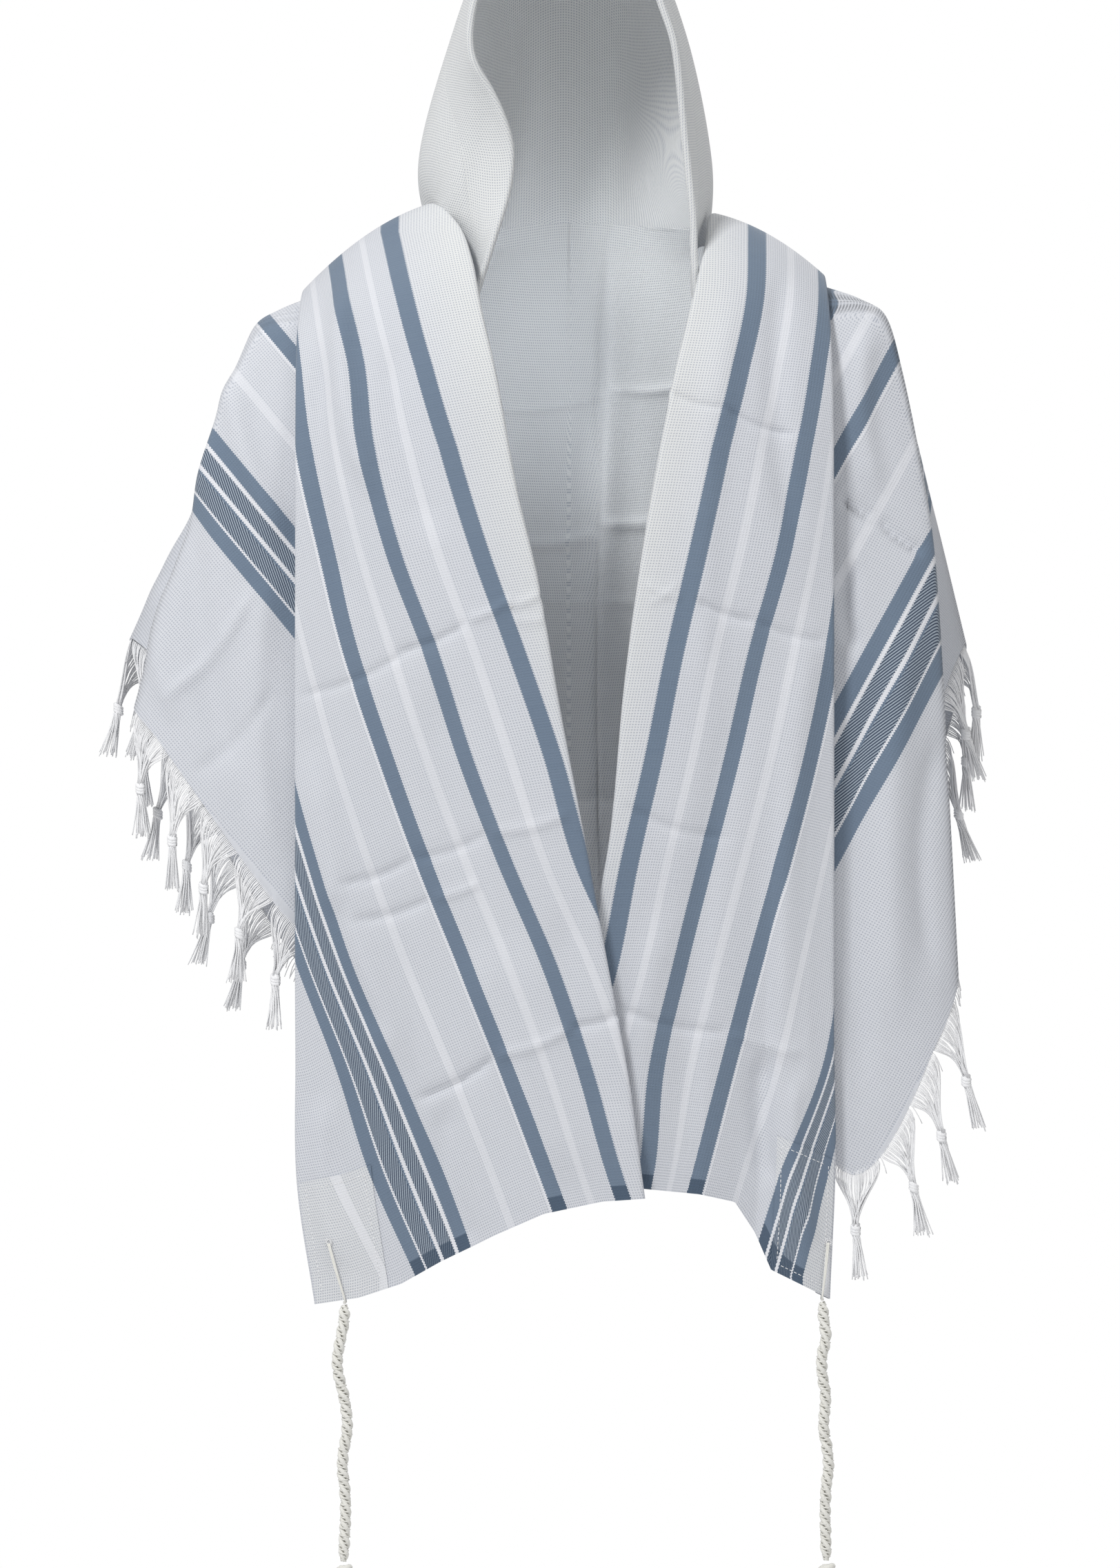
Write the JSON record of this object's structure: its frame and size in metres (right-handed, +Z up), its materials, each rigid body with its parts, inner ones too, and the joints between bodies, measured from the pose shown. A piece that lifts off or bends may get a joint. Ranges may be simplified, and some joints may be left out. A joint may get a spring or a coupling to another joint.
{
  "type": "prayer shawl",
  "caption": "Large woven prayer shawl with blue stripes, knotted fringe and corner braids, worn as a hood over the head with two panels hanging open in front.",
  "frame": {"origin": "crown of the wearer's head, on the inside of the hood's top", "axes": "+Z up, -Y the way the wearer faces, +X the right of the picture, which is the wearer's left"},
  "size_m": [0.7927, 0.2699, 1.4863],
  "materials": {
    "woven_cloth": "matte woven wool, cool off-white with slate blue stripes",
    "corner_patch": "matte woven cloth with satin lines",
    "fringe_yarn": "matte twisted wool",
    "braided_cord": "matte twisted cord, cream"
  },
  "bodies": {
    "root": {"hood": "woven_cloth", "back": "woven_cloth", "left_front": "woven_cloth", "right_front": "woven_cloth", "left_sleeve": "woven_cloth", "right_sleeve": "woven_cloth", "left_fringe": "fringe_yarn", "right_fringe": "fringe_yarn", "patch_front_left": "corner_patch", "patch_front_right": "corner_patch", "patch_back_left": "corner_patch", "patch_back_right": "corner_patch", "strings_front_left": "braided_cord", "strings_front_right": "braided_cord", "strings_back_left": "braided_cord", "strings_back_right": "braided_cord", "braid_front_left": "braided_cord", "braid_front_right": "braided_cord", "braid_back_left": "braided_cord", "braid_back_right": "braided_cord", "braid_knot_front_left": "braided_cord", "braid_knot_front_right": "braided_cord", "braid_knot_back_left": "braided_cord", "braid_knot_back_right": "braided_cord"}
  },
  "joints": []
}
